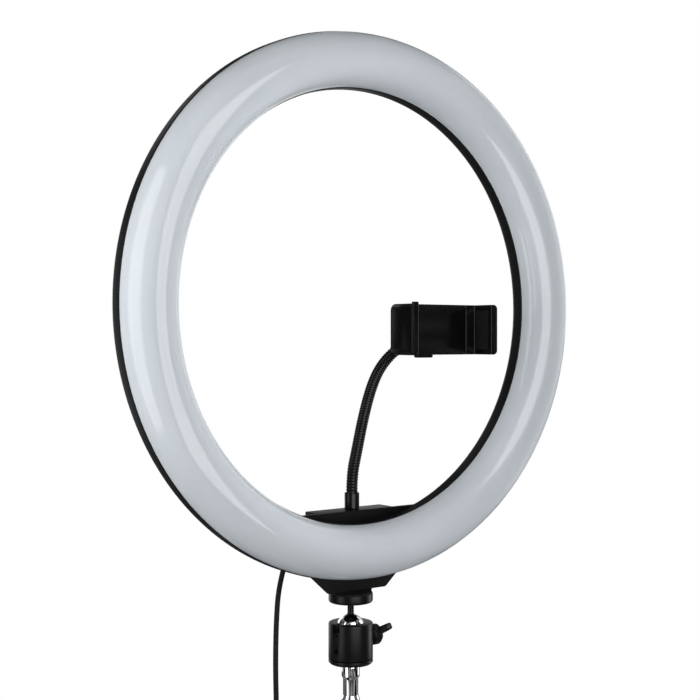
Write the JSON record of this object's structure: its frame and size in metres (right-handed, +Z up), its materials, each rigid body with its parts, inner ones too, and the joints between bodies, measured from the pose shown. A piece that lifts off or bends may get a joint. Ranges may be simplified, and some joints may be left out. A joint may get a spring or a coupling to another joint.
{
  "type": "ring light",
  "caption": "Ring light head with a gooseneck phone clamp, held on a mini ball head and stand stud, with its USB lead.",
  "frame": {"origin": "middle of the stand stud's shank, on its axis", "axes": "+Z up along the stud, the light shines towards -Y, +X to the right seen from the front"},
  "size_m": [0.36, 0.0705, 0.6207],
  "materials": {
    "diffuser_milk": "translucent milky, satin gloss",
    "black_housing": "fine moulded texture",
    "board_white": "white solder mask",
    "led_warm": "phosphor gel",
    "led_cool": "phosphor gel",
    "zinc_steel": "zinc plated",
    "brass": "turned",
    "neck_black": "black oxide, fine ribs",
    "clamp_plastic": "satin moulded",
    "grip_rubber": "matte",
    "nylon": "natural nylon",
    "head_black": "satin black anodised",
    "knob_plastic": "moulded",
    "ball_chrome": "polished",
    "stem_black": "black nickel",
    "cord_black": "soft PVC jacket",
    "tie_black": "woven hook and loop",
    "remote_plastic": "satin moulded",
    "button_rubber": "soft grey",
    "circuit_green": "solder mask",
    "plug_tongue_white": "moulded"
  },
  "bodies": {
    "ball_head": {"stand_stud": "ball_chrome", "base_insert": "brass", "base_plate": "head_black", "set_screw": "stem_black", "ball_housing": "head_black", "ball_seat": "nylon", "pressure_pad": "nylon"},
    "knob": {"lock_knob": "knob_plastic", "knob_screw": "zinc_steel"},
    "ball": {"ball": "ball_chrome"},
    "stem": {"ball_stem": "stem_black"},
    "light_head": {"platform_disc": "head_black", "platform_pad": "grip_rubber", "platform_insert": "brass", "neck_insert": "brass", "mount_block": "black_housing", "block_screws": "zinc_steel", "rear_housing": "black_housing", "diffuser": "diffuser_milk", "led_board": "board_white", "leds_warm": "led_warm", "leds_cool": "led_cool", "board_screws": "zinc_steel", "cable_gland": "black_housing", "inner_lead": "cord_black", "gooseneck_sleeve": "neck_black", "gooseneck": "neck_black", "neck_ball_stud": "neck_black", "supply_cord": "cord_black", "cord_coil": "cord_black", "remote_cord": "cord_black", "plug_cord": "cord_black", "cord_tie": "tie_black", "remote_front": "remote_plastic", "remote_back": "remote_plastic", "remote_board": "circuit_green", "remote_boots": "cord_black", "plug_body": "cord_black", "plug_shell": "zinc_steel", "plug_tongue": "plug_tongue_white"},
    "clamp_liner": {"ball_liner": "nylon"},
    "clamp_swivel": {"clamp_socket": "clamp_plastic"},
    "clamp_nut": {"lock_nut": "clamp_plastic"},
    "clamp": {"clamp_body": "clamp_plastic", "clamp_cover": "clamp_plastic", "retaining_ring": "zinc_steel", "clamp_screws": "zinc_steel", "fixed_jaw_pad": "grip_rubber", "jaw_springs": "zinc_steel"},
    "jaw": {"sliding_jaw": "clamp_plastic", "sliding_jaw_pad": "grip_rubber"},
    "power_button": {"power_button": "button_rubber"},
    "mode_button": {"mode_button": "button_rubber"},
    "brighter_button": {"brighter_button": "button_rubber"},
    "dimmer_button": {"dimmer_button": "button_rubber"}
  },
  "joints": [
    {"name": "head_tilt", "type": "hinge", "parent": "ball_head", "child": "ball", "pos_m": [0, 0, 0.059], "axis": [0.9744, 0.225, 0], "range_deg": [-35, 35]},
    {"name": "head_lean", "type": "hinge", "parent": "ball", "child": "stem", "pos_m": [0, 0, 0.059], "axis": [0.225, -0.9744, 0], "range_deg": [-35, 90]},
    {"name": "head_pan", "type": "hinge", "parent": "stem", "child": "light_head", "pos_m": [0, 0, 0.059], "axis": [0, 0, 1], "continuous": true},
    {"name": "knob_turn", "type": "hinge", "parent": "ball_head", "child": "knob", "pos_m": [0.0153, 0, 0.0525], "axis": [1, 0, 0], "range_deg": [0, 180]},
    {"name": "clamp_tilt", "type": "hinge", "parent": "light_head", "child": "clamp_liner", "pos_m": [0.056, -0.0075, 0.26], "axis": [1, 0, 0], "range_deg": [-50, 10]},
    {"name": "clamp_pan", "type": "hinge", "parent": "clamp_liner", "child": "clamp_swivel", "pos_m": [0.056, -0.0075, 0.26], "axis": [0, 0, 1], "range_deg": [-25, 25]},
    {"name": "nut_turn", "type": "hinge", "parent": "clamp_swivel", "child": "clamp_nut", "pos_m": [0.056, -0.0075, 0.26], "axis": [0, 1, 0], "range_deg": [0, 90]},
    {"name": "clamp_turn", "type": "hinge", "parent": "clamp_swivel", "child": "clamp", "pos_m": [0.056, -0.0075, 0.26], "axis": [0, 1, 0], "continuous": true},
    {"name": "jaw_slide", "type": "slide", "parent": "clamp", "child": "jaw", "axis": [1, 0, 0], "range_m": [0, 0.028], "stiffness_N_per_m": 70, "springref_m": -0.02, "deforming": ["jaw_springs"]},
    {"name": "power_press", "type": "slide", "parent": "light_head", "child": "power_button", "axis": [0, 1, 0], "range_m": [0, 0.0009], "stiffness_N_per_m": 300, "springref_m": -0.0006},
    {"name": "mode_press", "type": "slide", "parent": "light_head", "child": "mode_button", "axis": [0, 1, 0], "range_m": [0, 0.0009], "stiffness_N_per_m": 300, "springref_m": -0.0006},
    {"name": "brighter_press", "type": "slide", "parent": "light_head", "child": "brighter_button", "axis": [0, 1, 0], "range_m": [0, 0.0009], "stiffness_N_per_m": 300, "springref_m": -0.0006},
    {"name": "dimmer_press", "type": "slide", "parent": "light_head", "child": "dimmer_button", "axis": [0, 1, 0], "range_m": [0, 0.0009], "stiffness_N_per_m": 300, "springref_m": -0.0006}
  ]
}
